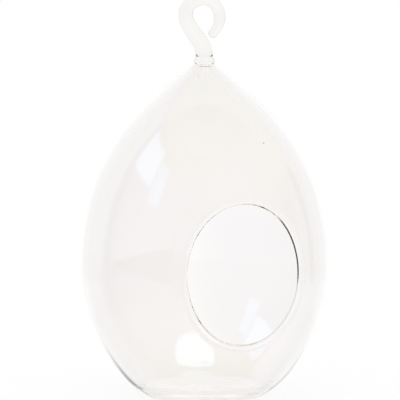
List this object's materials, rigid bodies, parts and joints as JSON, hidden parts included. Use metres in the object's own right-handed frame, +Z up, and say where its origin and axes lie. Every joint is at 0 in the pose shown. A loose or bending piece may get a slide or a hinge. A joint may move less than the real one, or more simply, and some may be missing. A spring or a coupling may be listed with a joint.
{
  "type": "hanging glass terrarium",
  "caption": "Egg-shaped clear glass terrarium with a flat foot, one oval side window with a fire-polished rim, and a bent solid glass hook at its crown.",
  "frame": {"origin": "centre of the flat foot's underside, on the egg's upright axis", "axes": "+Z up through the hook, -Y out of the middle of the window, and the hook bends in the XZ plane with its mouth towards +X"},
  "size_m": [0.1244, 0.1184, 0.201],
  "materials": {
    "clear_glass": "clear blown glass with fire-polished edges"
  },
  "bodies": {
    "root": {"glass_body": "clear_glass", "opening_rim": "clear_glass", "neck_knop": "clear_glass", "hanging_hook": "clear_glass"}
  },
  "joints": []
}
